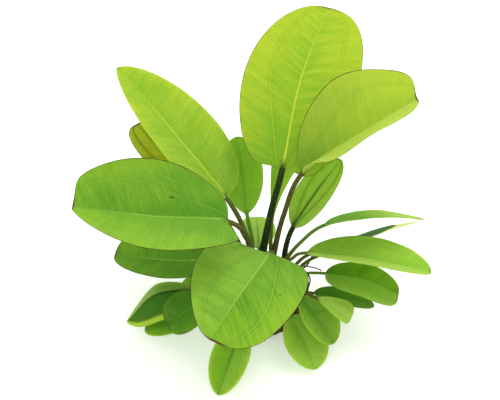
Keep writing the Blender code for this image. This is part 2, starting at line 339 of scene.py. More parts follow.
def leaf_tree():
    tree, given = geometry_tree("leaf", LEAF_INPUTS)
    add = partial(Wire.node, tree)

    # Which row and column a grid point is on, and so where it lies along and across the leaf. There
    # is one row more than there are steps, and one at each end that is drawn in to a point.
    stalk_rows, blade_rows, around = map(given, ("Stalk Rows", "Blade Rows", "Columns"))
    steps = stalk_rows + blade_rows
    rows, columns = steps + 3, around + 1
    grid = add("GeometryNodeMeshGrid", {"Vertices X": rows, "Vertices Y": columns})
    index = add("GeometryNodeInputIndex")
    row = (index / columns + ROUNDING).math("FLOOR")
    turn = (index - row * columns) / around
    step = (row - 1).held(0, steps)
    up_stalk = (step / stalk_rows).held()
    into_blade = ((step - stalk_rows) / blade_rows).held()
    s = (1 - (into_blade * math.pi).math("COSINE")) / 2
    open_row = row.above(0.5) * (rows - 1.5).math("GREATER_THAN", row)

    even = abs(1 - turn * 2) * 2 - 1
    t = even * (1 - ROUND_COLUMNS) + (turn * math.tau).math("COSINE") * ROUND_COLUMNS
    reach = abs(t)
    left = t.above(0.0)
    side = left * 2 - 1
    over = 1 - turn.above(0.5) * 2
    rise = (1 - MARGIN_SNAP - t * t).held().math("SQRT") * over

    def half(name):
        """An input of the half that the point is on."""
        return left.pick(given("Right " + name), given("Left " + name))

    # The axis there, and three directions: ahead, across and up.
    curve = add("GeometryNodeMeshToCurve", {0: given("Geometry")})
    start = given("Blade Start")
    factor = start * up_stalk + (1 - start) * s
    sampled = add("GeometryNodeSampleCurve", {"Curves": curve, "Factor": factor}, "Position",
                  mode="FACTOR")
    ahead = Wire(sampled.socket.node.outputs["Tangent"])
    flat = (given("Left") - ahead * given("Left").dot(ahead)).unit()
    lift = ahead.cross(flat)
    first, middle, last = given("Base Roll"), given("Middle Roll"), given("Tip Roll")
    roll = first + (middle * 4 - first * 3 - last) * s + (first * 2 + last * 2 - middle * 4) * s * s
    across = flat * roll.math("COSINE") + lift * roll.math("SINE")
    normal = ahead.cross(across)

    # The half blade as an arc, with its swept base and its ripple.
    wide = half("Width") * s ** given("Base Round") * (1 - s) ** half("Tip Round")
    fold = half("Fold") + half("Gather") * (1 - s.smooth(0.0, GATHER_REACH))
    curl = half("Curl")
    out, up = 0.0, 0.0
    for step_out in range(ARC_STEPS):
        angle = fold + curl * (reach * ((step_out + 0.5) / ARC_STEPS))
        out = angle.math("COSINE") + out
        up = angle.math("SINE") + up
    stretch = wide * reach / ARC_STEPS
    out, up = out * stretch, up * stretch
    turns = s * WAVES + left * WAVE_LAG
    ripple = open_row * half("Wave") * reach * reach * (turns * math.tau).math("SINE")
    from_base, from_tip = s / given("Lobe Place"), (1 - s) / CREST_PLACE
    lobe = half("Lobe") * from_base * (1 - from_base).math("EXPONENT")
    crest = half("Crest") * from_tip * (1 - from_tip).math("EXPONENT")
    swept = open_row * (lobe - crest) * reach ** SWEEP_POWER

    # Small unevenness: margins that flutter and a blade that swells between its veins.
    length = s * given("Blade Length")
    edge_place = vector(length / FLUTTER_LENGTH, side * 3, given("Seed"))
    flutter = (edge_place.noise(1.0) - 0.5) * FLUTTER * 2 * reach ** 3
    swell_place = vector(length / SWELL_LENGTH, t * wide / SWELL_LENGTH, given("Seed") + 5)
    swell = (swell_place.noise(1.0) - 0.5) * FLUTTER * 2
    inner = ridge((reach - side_vein(s, INNER_VEIN)) * wide, VEIN_WIDTH)
    outer = ridge((reach - side_vein(s, OUTER_VEIN)) * wide, VEIN_WIDTH)
    grooves = inner + outer * OUTER_GROOVE_SHARE
    on_blade = wide.smooth(*BLADE_BEGINS)
    relief = (swell - grooves * VEIN_GROOVE) * on_blade

    # The section's own thickness: a rib that fades into the blade, rounder below than above.
    stalk = given("Stalk Radius") * (1 + FOOT_FLARE * (1 - up_stalk) ** FLARE_POWER)
    thin = BLADE_THICKNESS / 2
    rib_below = stalk * (1 - s) + thin * s
    rib_above = s.smooth(0.0, RIB_TOP_END).pick(stalk, thin)
    rib = rise.smooth(-RIB_BLEND, RIB_BLEND).pick(rib_below, rib_above)
    fade = (1 - wide * reach / (stalk * RIB_REACH)).held() ** 2
    radius = (thin + (rib - thin) * fade) * open_row
    rib_line = ridge(wide * reach, stalk * RIB_LINE_WIDTH)
    rib_line = rib_line * s.smooth(*RIB_LINE) * (1 - s) * rise.held()

    height = up + ripple + flutter * on_blade + relief + radius * rise - rib_line * RIB_GROOVE
    place = sampled + across * (out * side + radius * t) + normal * height - ahead * swept

    shaped = add("GeometryNodeSetPosition", {"Geometry": grid, "Position": place})
    mark_s, mark_t, mark_size = given("Mark").parts()
    mark_along, mark_across = (s - mark_s) * given("Blade Length"), (t - mark_t) * wide
    dressed = keep_attributes(tree, shaped, {
        "blade": vector(t, s, rise), "span": vector(length / MM, wide / MM, up_stalk),
        "mark": vector(mark_along / MM, mark_across / MM, mark_size),
        **{name.lower().replace(" ", "_"): given(name) for name in LOOK_INPUTS}})
    closed = add("GeometryNodeMergeByDistance", {"Geometry": dressed, "Distance": MERGE})
    outward = add("GeometryNodeFlipFaces", {0: closed})
    smooth = add("GeometryNodeSetShadeSmooth", {0: outward})
    give_out(tree, smooth, given("Material"))
    return tree


LEAF_TREE = leaf_tree()
print("leaf tree:", len(LEAF_TREE.nodes), "nodes")

# %% [markdown]
# ## Where every leaf grows
#
# A leaf's axis is four stretches: the lower and the upper half of its stalk, then the inner and
# the outer half of its blade. A row gives the lengths of stalk and blade in millimetres, and for
# each stretch how steeply it climbs (lift) and how far it swings to the left of the leaf's
# heading (turn), in degrees. Points could be listed instead, but a length and an angle say what
# the plant does, and they are what one changes to bend a leaf. The crown's outline is repeated
# here, because a foot has to leave its side square on.

# %% The leaves' rows
CROWN_OUTLINE = [(0, 47.5), (2, 47), (5, 45), (7.6, 42), (9.8, 38), (11, 33), (11.5, 30.3), (0, 30.3)]
BALL_OUTLINE = [(0, 30), (12, 30), (18, 28.5), (22, 25), (23.5, 19), (23, 11), (21.5, 4), (20, 0),
                (0, 0)]
LEAVES = {
    "leaf_back_tall": dict(
        heading=75, foot=(112, 43), lengths=(64, 107), lift=(75, 75, 40, 30), turn=(-15, -40, 0, -8),
        width=76, stalk=3.8, roll=(2, 0), fold=(12, 12), halves=(0.9, 0.93), lobe=(5, 9),
        base_round=0.45, tip_round=(0.48, 0.4)),
    "leaf_right_tall": dict(
        heading=10, foot=(66, 43), lengths=(66, 81), lift=(78, 70, 40, 28), turn=(10, 5, -5, 5),
        width=66, stalk=3.0, roll=(6, 2), fold=(48, 40), gather=(0, 20), crest=(6, 0), wave=(0, 1),
        halves=(1.05, 1.0), base_round=0.75, tip_round=(0.56, 0.35)),
    "leaf_back_middle": dict(
        heading=78, foot=(80, 37), lengths=(18, 88), lift=(50, 30, 33, 33), turn=(10, 10, 8, -8),
        width=34, stalk=2.4, fold=(90, 0), curl=(-10, -10), halves=(0.8, 1.15), base_round=1.8),
    "leaf_back_right": dict(
        heading=38, foot=(34, 38), lengths=(26, 51), lift=(65, 60, 47, 40), turn=(15, 10, 0, 0),
        width=26, stalk=3.2, fold=(16, 16)),
    "leaf_right_arched": dict(
        heading=8, foot=(5, 42), lengths=(40, 63), lift=(52, 40, 6, -12), turn=(5, 0, 0, 0),
        width=28, stalk=2.2, roll=(-32, -28), fold=(12, 12), base_round=0.35),
    "leaf_right_slim": dict(
        heading=22, foot=(355, 36), lengths=(33, 47), lift=(35, 5, 2, 8),
        width=17, roll=(-35, -35), fold=(12, 12)),
    "leaf_right_pale": dict(
        heading=33, foot=(338, 34), lengths=(37, 70), lift=(26, 3, -9, -5), turn=(-5, -5, 5, -5),
        width=20, roll=(-35, -35), fold=(12, 12)),
    "leaf_right_broad": dict(
        heading=350, foot=(325, 44), lengths=(23, 76), lift=(38, 32, 2, -8), turn=(5, 5, 0, 0),
        width=45, roll=(-20, -18), fold=(20, 20), tip_round=(0.5, 0.5)),
    "leaf_right_low": dict(
        heading=348, foot=(322, 37), lengths=(29, 47), lift=(22, 12, 0, -22), turn=(5, 0, 0, 0),
        width=34, stalk=1.8, roll=(-6, -6), fold=(14, 8), halves=(0.8, 1.08), base_round=0.42,
        tip_round=(0.3, 0.3)),
    "leaf_right_under": dict(
        heading=3, foot=(318, 34), lengths=(22, 40), lift=(-20, -10, -15, -20), turn=(-20, -5, 0, 0),
        width=25, stalk=1.8, roll=(-10, -10), halves=(0.75, 1.0)),
    "leaf_front_right_small": dict(
        heading=338, foot=(303, 38), lengths=(30, 26), lift=(12, 5, -20, -28), turn=(-25, -15, 0, 0),
        width=20, stalk=1.8, roll=(-5, 0), halves=(1.0, 0.7), base_round=1.1, tip_round=(0.3, 0.3)),
    "leaf_front_right": dict(
        heading=318, foot=(290, 34), lengths=(21, 34), lift=(15, -5, -32, -42), turn=(5, 5, 0, 0),
        width=25),
    "leaf_front_right_low": dict(
        heading=300, foot=(271, 36), lengths=(25, 36), lift=(-15, -50, -36, -30), turn=(15, 10, 5, -5),
        width=28),
    "leaf_front_broad": dict(
        heading=245, foot=(268, 42.5), lengths=(28, 76), lift=(70, 65, 5, -10), turn=(30, 35, 0, -5),
        width=70, stalk=3.2, fold=(0, 0), halves=(0.92, 1.12), lobe=(2, 16), lobe_place=0.12,
        base_round=0.26, tip_round=(0.33, 0.68)),
    "leaf_front_low": dict(
        heading=246, foot=(255, 33), lengths=(29, 44), lift=(-12, -20, -30, -37), turn=(0, -5, 0, 0),
        width=24, tip_round=(0.6, 0.6)),
    "leaf_front_left": dict(
        heading=199, foot=(238, 36), lengths=(34, 31), lift=(0, 5, -24, -31), turn=(10, 5, 0, 0),
        width=34, fold=(11, 11), tip_round=(0.45, 0.3)),
    "leaf_front_left_under": dict(
        heading=186, foot=(218, 33), lengths=(34, 41), lift=(-17, -17, -20, -20), turn=(25, 10, 0, 0),
        width=27, stalk=1.8),
    "leaf_left_drooping": dict(
        heading=188, foot=(202, 37), lengths=(35, 54), lift=(-12, -10, -4, -46), turn=(0, 0, 0, 5),
        width=34, fold=(-30, -14), halves=(0.98, 0.92), base_round=0.5,
        tip_round=(0.6, 0.45)),
    "leaf_left_small": dict(
        heading=166, foot=(186, 34), lengths=(26, 24), lift=(-22, -28, -24, -15),
        width=22, stalk=1.8),
    "leaf_left_low": dict(
        heading=170, foot=(178, 38), lengths=(18, 72), lift=(30, 5, -9, -2),
        width=43, stalk=2.2, base_round=0.4, tip_round=(0.5, 0.32)),
    "leaf_left_under": dict(
        heading=151, foot=(162, 34), lengths=(37, 56), lift=(15, -2, -16, -16),
        width=28),
    "leaf_left_broad": dict(
        heading=178, foot=(215, 42.5), lengths=(52, 91), lift=(75, 58, 8, 5), turn=(35, 25, 5, -2),
        width=68, stalk=3.0, roll=(-8, -22, 0), fold=(32, 24), lobe=(12, -5), lobe_place=0.13,
        crest=(0, 3), halves=(0.9, 1.0), base_round=0.35, tip_round=(0.5, 0.3)),
    "leaf_back_left_young": dict(
        heading=134, foot=(156, 37), lengths=(54, 69), lift=(50, 28, 18, 18), turn=(5, 0, 0, 0),
        width=33, stalk=2.4, tip_round=(0.4, 0.4)),
    "leaf_back_left_tall": dict(
        heading=138, foot=(168, 42), lengths=(50, 105), lift=(72, 58, 35, 26), turn=(15, 10, 2, -2),
        width=58, stalk=3.0, fold=(22, 18), gather=(30, 0), halves=(0.7, 0.9), base_round=0.4,
        tip_round=(0.7, 0.6)),
    "leaf_back_upright": dict(
        heading=100, foot=(145, 40), lengths=(33, 48), lift=(70, 64, 46, 46), turn=(20, 15, 0, 0),
        width=26, stalk=2.4, base_round=0.65),
    "leaf_back_low": dict(
        heading=92, foot=(110, 36), lengths=(13, 57), lift=(0, -5, -20, -20), turn=(5, 5, 0, 0),
        width=24, stalk=2.2),
}
PLAIN_LEAF = dict(
    turn=(0, 0, 0, 0), stalk=2.0, roll=(0, 0), fold=(18, 18), curl=(-12, -12), gather=(0, 0),
    halves=(1.0, 1.0), lobe=(0, 0), lobe_place=0.09, crest=(0, 0), wave=(0, 0), base_round=0.55,
    tip_round=(0.55, 0.55))
FOOT_STRAIGHT = 2.5
FOOT_SUNK = 1.5
CURVE_STEPS = 40
STALK_STRETCHES = 3
STALK_ROWS = 46
LARGE_BLADE_WIDTH = 40
LARGE_GRID = (110, 120)
SMALL_GRID = (80, 80)


def crown_side(height):
    """The crown's radius at a height, in millimetres, and which way its side faces there."""
    for (r1, z1), (r2, z2) in zip(CROWN_OUTLINE, CROWN_OUTLINE[1:]):
        if z2 <= height <= z1 and z1 > z2:
            facing = Vector((z1 - z2, r2 - r1)).normalized()
            return r1 + (r2 - r1) * (z1 - height) / (z1 - z2), facing
    raise ValueError(f"no crown at {height} mm")


def smooth_curve(points, steps):
    """Points along a Catmull-Rom curve through the given ones, steps to each stretch."""
    held = [2 * points[0] - points[1], *points, 2 * points[-1] - points[-2]]
    line = []
    for a, b, c, d in zip(held, held[1:], held[2:], held[3:]):
        for step in range(steps):
            u = step / steps
            line.append(0.5 * (2 * b + (c - a) * u + (2 * a - 5 * b + 4 * c - d) * u * u
                               + (3 * b - a - 3 * c + d) * u ** 3))
    line.append(points[-1].copy())
    return line


def length_of(line):
    return sum((q - p).length for p, q in zip(line, line[1:]))


def axis_of(leaf):
    """A leaf's axis as points in metres, and the direction to its left."""
    heading = math.radians(leaf["heading"])
    left = Vector((-math.sin(heading), math.cos(heading), 0))
    bearing, height = leaf["foot"]
    radius, (outward, upward) = crown_side(height)
    around = Vector((math.cos(math.radians(bearing)), math.sin(math.radians(bearing)), 0))
    square_on = around * outward + Vector((0, 0, upward))
    foot = around * radius + Vector((0, 0, height))
    route = [foot - FOOT_SUNK * square_on, foot + FOOT_STRAIGHT * square_on]
    stalk, blade = leaf["lengths"]
    point = foot
    for length, lift, turn in zip((stalk, stalk, blade, blade), leaf["lift"], leaf["turn"]):
        lift = math.radians(lift)
        way = heading + math.radians(turn)
        level = Vector((math.cos(way), math.sin(way), 0)) * math.cos(lift)
        point = point + (level + Vector((0, 0, math.sin(lift)))) * length / 2
        route.append(point)
    return [point * MM for point in smooth_curve(route, CURVE_STEPS)], left


print("leaves:", len(LEAVES))

# %% [markdown]
# ## Leaf green
#
# A living leaf is not one green. Seen on its own it is yellower between the cross veins, towards
# the margins and at the tip, paler below, and it glows where light comes through it. An image
# could carry all that, but it would stretch and it would belong to one leaf. Here the colour is
# worked out from where a point lies on the blade, which the leaf tree stored: t across it, s
# along it, and the same in millimetres. The glow is a Translucent shader behind the glossy one.
# Painted light and painted shade go into the colour as well: a whole leaf, one half or the tip
# is painted paler where light falls on it and darker where other leaves shade it.

# %% Leaf finishes
# Colours are red, green and blue. Widths, spacings and depths are in millimetres. A pair is where
# a soft step begins and ends, a value for the inner and the outer vein, or a cell's two sides.
STALK_GREEN = (0.10, 0.24, 0.02)
STALK_BROWN = (0.088, 0.082, 0.020)
STALK_DARK = (0.014, 0.030, 0.008)
STALK_SPECK = (0.16, 0.27, 0.06)
RIB_DARK = (0.03, 0.09, 0.010)
VEIN_LIGHT = (0.46, 0.67, 0.11)
VEIN_GOLD = (0.62, 0.68, 0.05)
RIM_BROWN = (0.07, 0.035, 0.015)
RIM_LIGHT = (0.50, 0.68, 0.06)
CROSS_SPACING = 1.6
CROSS_SLANT = 0.42
CROSS_FADE = 2.5
FINE_SPACING = 0.8
FINE_SHARE = 0.45
NET_CELL = 1.0
NET_LINE = (0.02, 0.16)
SIDE_LINES = (0.32, 0.26)
BESIDE_LINE = 1.3
MIDRIB_TIP = 0.22
MIDRIB_GROWS = 0.40
MIDRIB_SWELL = 1.1
SKIN_BEGINS = (0.8, 3.0)
TOP_BLEND = 0.15
PATCH_CELL = 19
STREAK_CELL = (3.2, 22)
STREAK_SHARE = 1.7
PATCH_SHARE = 1.3
MARGIN_YELLOW = 0.7
TIP_YELLOW = 0.5
BASE_GREEN = 0.35
CROSS_DEPTH = 0.05
SIDE_DEPTHS = (0.10, 0.06)
NET_DEPTH = 0.012
GRAIN_DEPTH = 0.03
BUMP_REACH = 1.0
LEAF_ROUGHNESS = 0.42
LEAF_SPECULAR = 0.02
PLAIN_SPECULAR = 0.5


def attribute(tree, name):
    return Wire.node(tree, "ShaderNodeAttribute", output="Vector", attribute_name=name)


def blend(share, off, on):
    """A colour that is off where share is 0 and on where it is 1."""
    return share.add_node("ShaderNodeMix", {0: share.held(), 6: off, 7: on}, 2, data_type="RGBA")


def tint(share, show, colour, light, dark):
    """Lays light on a colour where show is below 0 and dark where it is above, by share."""
    return blend(share * show, blend(-(share * show), colour, light), dark)


def object_place(tree):
    return Wire.node(tree, "ShaderNodeTexCoord", output="Object")


def new_finish(name):
    made = bpy.data.materials.new(name)
    made.use_nodes = True
    made.node_tree.nodes.clear()
    return made, made.node_tree


def show(tree, shader):
    """Links a shader to the material's output."""
    Wire.node(tree, "ShaderNodeOutputMaterial", {"Surface": shader})


def skin(tree, colour, roughness, height, depth, specular=PLAIN_SPECULAR):
    """A glossy shader with a relief as deep as depth, and the relief's normal."""
    bump = Wire.node(tree, "ShaderNodeBump", {"Distance": depth * MM, "Height": height})
    sockets = {"Base Color": colour, "Roughness": roughness, "Normal": bump,
               "Specular IOR Level": specular}
    return Wire.node(tree, "ShaderNodeBsdfPrincipled", sockets), bump


def cross_veins(slant, sideways, side, seed, spacing):
    """Lines a spacing apart along slant, which waver, and come and go."""
    wobble = vector(slant / 12, sideways / 12 + side * 9, seed).noise(1.0)
    beat = abs((slant / spacing + wobble * 1.2 + side * 0.4).math("FRACT") - 0.5) * 2
    strength = vector(slant / (spacing * 1.5), sideways / 14 + side * 7, seed + spacing).noise(1.0)
    return beat.smooth(0.25, 1.0) * strength.smooth(0.3, 0.7)


def leaf_finish(name, green, yellow, shade, pale, through, glow, vein=VEIN_LIGHT):
    """A leaf's skin. The colour called through, at a strength of glow, is light from behind."""
    made, tree = new_finish("leaf_" + name)
    t, s, facing = attribute(tree, "blade").parts()
    along, wide, up_stalk = attribute(tree, "span").parts()
    yellowing, painted_shade, seed = attribute(tree, "tone").parts()
    stalk_tone, rib_show, rim_show = attribute(tree, "stalk_tone").parts()
    inner_show, outer_show, cross_show = attribute(tree, "veins").parts()
    left_light, right_light, tip_light = attribute(tree, "sides").parts()
    mark_along, mark_across, mark_size = attribute(tree, "mark").parts()
    lean, contrast, _ = attribute(tree, "grain").parts()
    place = object_place(tree)

    reach = abs(t)
    side = t.above(0.0)
    across = t * wide
    sideways = reach * wide
    edge = (1 - reach) * wide
    top = facing.smooth(-TOP_BLEND, TOP_BLEND)
    on_blade = wide.smooth(*SKIN_BEGINS)

    # The lines on the blade: cross veins, the net between them, two pairs of side veins, the
    # midrib. In a noise, side times a number keeps one half from mirroring the other.
    slant = along - sideways * CROSS_SLANT - across * lean
    cross = cross_veins(slant, sideways, side, seed, CROSS_SPACING)
    fine = cross_veins(slant, sideways, side, seed + 2, FINE_SPACING)
    cross = (cross + fine * FINE_SHARE) * on_blade * edge.smooth(0.0, CROSS_FADE)
    sockets = {"Vector": vector(along / NET_CELL, across / NET_CELL, seed)}
    net = Wire.node(tree, "ShaderNodeTexVoronoi", sockets, feature="DISTANCE_TO_EDGE")
    net = 1 - net.smooth(*NET_LINE)
    to_inner, to_outer = ((reach - side_vein(s, course)) * wide for course in (INNER_VEIN, OUTER_VEIN))
    inner, outer = (ridge(to_vein, width) * on_blade
                    for to_vein, width in zip((to_inner, to_outer), SIDE_LINES))
    beside = (ridge(to_inner, BESIDE_LINE) - inner) * on_blade
    rib_width = (MIDRIB_TIP + (1 - s) * MIDRIB_GROWS) * (1 + rib_show.held() * MIDRIB_SWELL)
    midrib = ridge(sideways, rib_width) * s.smooth(0.0, 0.04) * (1 - s.smooth(0.5, 1.0) * 0.6)

    # Green to yellow, in streaks along the cross veins and in wider patches. From here on, a plain
    # number that multiplies a share says how strongly its tone is laid on.
    streak_place = vector(slant / STREAK_CELL[0], sideways / STREAK_CELL[1] + side * 5, seed)
    streak = streak_place.noise(1.0, 3.0, 0.6)
    patch = vector(along / PATCH_CELL, across / PATCH_CELL, seed + 3).noise(1.0)
    yellow_share = (yellowing + (streak - 0.5) * contrast * STREAK_SHARE
                    + (patch - 0.5) * PATCH_SHARE + (reach - 0.45) * MARGIN_YELLOW
                    + (s - 0.5) * TIP_YELLOW - (1 - s.smooth(0.0, 0.35)) * BASE_GREEN)
    colour = blend(yellow_share, green, yellow)
    colour = blend((1 - top) * 0.7, colour, pale)
    # Painted shade: the shade colour laid over a whole leaf by its dark value, where other leaves
    # shade it. The same value dims the light let through, further down.
    colour = blend(painted_shade + (patch - 0.5) * 0.3 * painted_shade, colour, shade)
    # Painted light on a half that lies in the light and towards the tip, and painted shade on a half
    # that lies in shadow, where the value is below 0.
    lit = side.pick(right_light, left_light) * (0.75 + streak * 0.4) + tip_light * s.smooth(0.2, 0.9)
    colour = blend(lit, colour, pale)
    colour = blend(-lit, colour, shade)
    colour = tint(cross, cross_show, colour, pale, shade)
    colour = blend(net * 0.3, colour, shade)
    colour = blend(beside * abs(inner_show) * 0.7, colour, shade)
    for line, line_show in ((inner, inner_show), (outer, outer_show), (midrib, rib_show)):
        colour = tint(line, line_show, colour, vein, RIB_DARK)

    # The stalk's skin reaches a little way into the base of the blade.
    mottle = place.noise(520.0, 3.0, 0.65)
    ageing = stalk_tone + (1 - up_stalk) * 0.25 + (mottle - 0.5) * 0.8
    stalk_colour = blend(ageing * 2, STALK_GREEN, STALK_BROWN)
    stalk_colour = blend(ageing * 2 - 1, stalk_colour, STALK_DARK)
    stalk_colour = blend(place.noise(1300.0).smooth(0.58, 0.68) * 0.4, stalk_colour, STALK_SPECK)
    stalk_share = (1 - on_blade).math("MAXIMUM", ridge(sideways, 1.5) * (1 - s.smooth(0.0, 0.07)))
    colour = blend(stalk_share, colour, stalk_colour)

    # The margin and the tip, dark on old leaves and clear on young ones, and a spot of damage. The
    # light rim is partly that clear margin and partly painted light, where a curled margin catches
    # the light.
    ragged = place.noise(800.0)
    waning = vector(along / 25, side * 3, seed + 6).noise(1.0).smooth(0.25, 0.5)
    dark_rim = (1 - (edge + (ragged - 0.5) * 0.25).smooth(0.25, 0.7)) * (0.35 + waning * 0.65)
    light_rim = 1 - (edge / abs(rim_show).held(1.0, 3.0)).smooth(0.3, 2.4)
    rim_share = rim_show.above(0.0).pick(light_rim, dark_rim) * on_blade
    to_tip = along * (1 - s) / s.held(0.01, 1.0)
    dark_tip = (1 - (to_tip + (ragged - 0.5)).smooth(0.4, 2.0)) * on_blade * rim_show.held()
    colour = tint(rim_share, rim_show, colour, RIM_LIGHT, RIM_BROWN)
    colour = blend(dark_tip, colour, RIM_BROWN)
    far = (mark_along * mark_along / 4 + mark_across * mark_across).math("SQRT")
    spot = 1 - (far / mark_size.held(0.1, 9.0) + (ragged - 0.5) * 0.9).smooth(0.5, 1.0)
    colour = blend(spot * 0.85, colour, STALK_DARK)

    # Veins are sunk on top and stand out below, and a fine grain covers everything.
    lines = (cross * CROSS_DEPTH + inner * SIDE_DEPTHS[0] + outer * SIDE_DEPTHS[1]
             + net * NET_DEPTH)
    grain = (place.noise(2600.0, 3.0) - 0.5) * GRAIN_DEPTH
    height = grain - lines * (top * 2 - 1)
    roughness = LEAF_ROUGHNESS + (patch - 0.5) * 0.2 + stalk_share * 0.12 + (1 - top) * 0.12
    gloss, bump = skin(tree, colour, roughness, height, BUMP_REACH, LEAF_SPECULAR)
    light = Wire.node(tree, "ShaderNodeBsdfTranslucent", {"Color": through, "Normal": bump})
    blocked = (rim_share * rim_show).held().math("MAXIMUM", dark_tip).math("MAXIMUM", spot)
    passed = (1 - stalk_share) * (1 - blocked) * (1 - painted_shade * 0.5) * glow
    passed = passed * (1 - cross * cross_show.held() * 0.5) * (1 - midrib * abs(rib_show) * 0.5)
    show(tree, Wire.node(tree, "ShaderNodeMixShader", {0: passed, 1: gloss, 2: light}))
    return made


# The green, the yellow, the shade, the pale tone, then the light from behind and how strong it is.
# The sunlit and the fresh finishes are lit copies of the leaf green, painted lighter: sunlit for the
# tall leaves in full light, the fresh one, a fresher green, for leaves that lie under others.
LEAF_COLOURS = {
    "sunlit": ((0.14, 0.39, 0.032), (0.47, 0.57, 0.046), (0.06, 0.21, 0.012), (0.56, 0.68, 0.16),
               (0.70, 0.82, 0.06), 0.50, VEIN_GOLD),
    "fresh": ((0.20, 0.44, 0.042), (0.40, 0.61, 0.050), (0.07, 0.21, 0.024), (0.56, 0.72, 0.15),
              (0.56, 0.82, 0.08), 0.46),
    "ivory": ((0.42, 0.60, 0.10), (0.66, 0.78, 0.26), (0.10, 0.30, 0.03), (0.80, 0.88, 0.44),
              (0.85, 0.92, 0.40), 0.40),
    "green": ((0.105, 0.31, 0.028), (0.34, 0.56, 0.040), (0.040, 0.13, 0.018), (0.42, 0.64, 0.11),
              (0.47, 0.74, 0.05), 0.42),
    "young": ((0.18, 0.34, 0.022), (0.50, 0.58, 0.035), (0.08, 0.12, 0.01), (0.50, 0.45, 0.08),
              (0.70, 0.74, 0.04), 0.45),
}
FINISHES = {name: leaf_finish(name, *colours) for name, colours in LEAF_COLOURS.items()}
print("leaf finishes:", ", ".join(FINISHES))

# %% [markdown]
# ## Growing the leaves
#
# Each row now goes through the tree. A second table gives what only the eye sees: the finish, how
# yellow the leaf is, how much painted shade darkens it where other leaves shade it (dark), and its
# spot. stalk runs from 0, green, over brown to 1, nearly black. rib, rim and veins (inner, outer
# and cross) are darker than the leaf above 0 and lighter below it; a light rim is partly a clear
# margin and partly painted light where a curled margin catches the light. grain leans the cross
# veins to one side and says how strong the streaks are. sides is painted light on the left and
# the right half, and painted shade where it is below 0, and tip_light is painted light towards the
# tip, and painted shade where it is below 0.

# %% Every leaf's look
LOOKS = {
    "leaf_back_tall": dict(
        finish="sunlit", yellow=0.6, stalk=0.95, rib=-1.0, rim=0.6, veins=(-0.5, -0.1, 0.35),
        sides=(0.1, 0.12), grain=(0.0, 1.4)),
    "leaf_right_tall": dict(
        finish="sunlit", yellow=0.65, stalk=0.5, rib=-0.15, rim=1.0, veins=(-0.3, 0.0, 0.15),
        sides=(0.3, 1.3)),
    "leaf_back_middle": dict(
        finish="fresh", yellow=0.4, stalk=0.2, rib=0.0, veins=(-0.3, 0.0, 0.2), sides=(0.4, 0.4)),
    "leaf_left_broad": dict(
        yellow=0.35, stalk=0.45, rib=-0.55, rim=1.0, veins=(-0.3, -0.25, -0.35),
        sides=(0.25, -0.2), mark=(0.36, -0.35, 0.8)),
    "leaf_back_left_tall": dict(
        finish="sunlit", yellow=0.2, stalk=0.4, rib=-0.9, rim=-0.4, veins=(-0.3, -0.1, -0.5),
        sides=(0.15, 0.05)),
    "leaf_back_left_young": dict(
        finish="young", yellow=0.25, stalk=0.45, rib=1.2, rim=1.0, veins=(1.0, 0.0, 0.3),
        sides=(0.1, 0.1)),
    "leaf_front_broad": dict(
        yellow=0.5, stalk=0.5, rib=-0.6, rim=1.0, veins=(-0.5, -0.15, 0.3), grain=(0.5, 1.6),
        sides=(0.3, 0.7), tip_light=-0.3, mark=(0.42, 0.62, 0.5)),
    "leaf_back_right": dict(
        finish="fresh", yellow=0.6, stalk=0.95, rib=1.0, rim=0.3, veins=(0.7, 0.0, 0.15),
        sides=(0.55, 0.6)),
    "leaf_right_arched": dict(
        finish="fresh", yellow=0.2, stalk=0.1, rib=0.2, rim=-0.8, sides=(0.1, -0.1), tip_light=1.2),
    "leaf_right_slim": dict(yellow=0.0, dark=1.0, sides=(-0.4, -0.4)),
    "leaf_right_pale": dict(finish="ivory", yellow=0.9, rim=0.0, sides=(1.0, 1.0)),
    "leaf_right_broad": dict(finish="fresh", yellow=0.4, stalk=0.3, rib=0.1, sides=(0.35, 1.2)),
    "leaf_right_low": dict(yellow=0.6, stalk=0.1, rib=0.2, sides=(-0.1, 0.85)),
    "leaf_right_under": dict(yellow=0.0, dark=0.35, rim=0.3),
    "leaf_front_right_small": dict(
        finish="fresh", yellow=0.8, stalk=0.5, rib=0.0, rim=-0.5, sides=(1.0, 1.0)),
    "leaf_front_right": dict(yellow=0.5, rib=0.0, rim=-0.3, sides=(0.45, 0.3)),
    "leaf_front_right_low": dict(finish="fresh", yellow=0.5, rib=0.1, rim=-0.6, sides=(0.6, 0.35)),
    "leaf_front_low": dict(finish="fresh", yellow=0.25, rib=0.6, rim=-0.8, sides=(0.35, 0.0)),
    "leaf_back_upright": dict(
        finish="fresh", yellow=0.1, dark=0.05, stalk=0.0, rim=-0.2, sides=(0.1, 0.1)),
    "leaf_back_low": dict(
        finish="fresh", yellow=0.4, stalk=0.1, rib=0.6, rim=-0.2, sides=(0.9, 0.9)),
    "leaf_left_low": dict(yellow=0.0, dark=0.28, rib=-0.7, rim=0.8, veins=(-0.15, 0.0, -0.6)),
    "leaf_left_small": dict(finish="fresh", yellow=0.4, sides=(0.8, 0.8)),
    "leaf_left_drooping": dict(yellow=0.1, dark=0.4, rib=1.0, rim=-2.0, sides=(-0.6, 1.1)),
    "leaf_front_left": dict(yellow=0.05, dark=0.3, rib=-0.3, rim=0.5),
    "leaf_front_left_under": dict(yellow=0.3, rim=-0.9),
    "leaf_left_under": dict(finish="fresh", yellow=0.3),
}
PLAIN_LOOK = dict(
    finish="green", dark=0.0, stalk=0.25, rib=0.3, rim=0.4, veins=(0.1, 0.0, 0.25),
    sides=(0.0, 0.0), tip_light=0.0, mark=NO_MARK, grain=(0.0, 1.0))


def fullness(base, tip):
    """The greatest value of s ** base * (1 - s) ** tip."""
    peak = base / (base + tip)
    return peak ** base * (1 - peak) ** tip


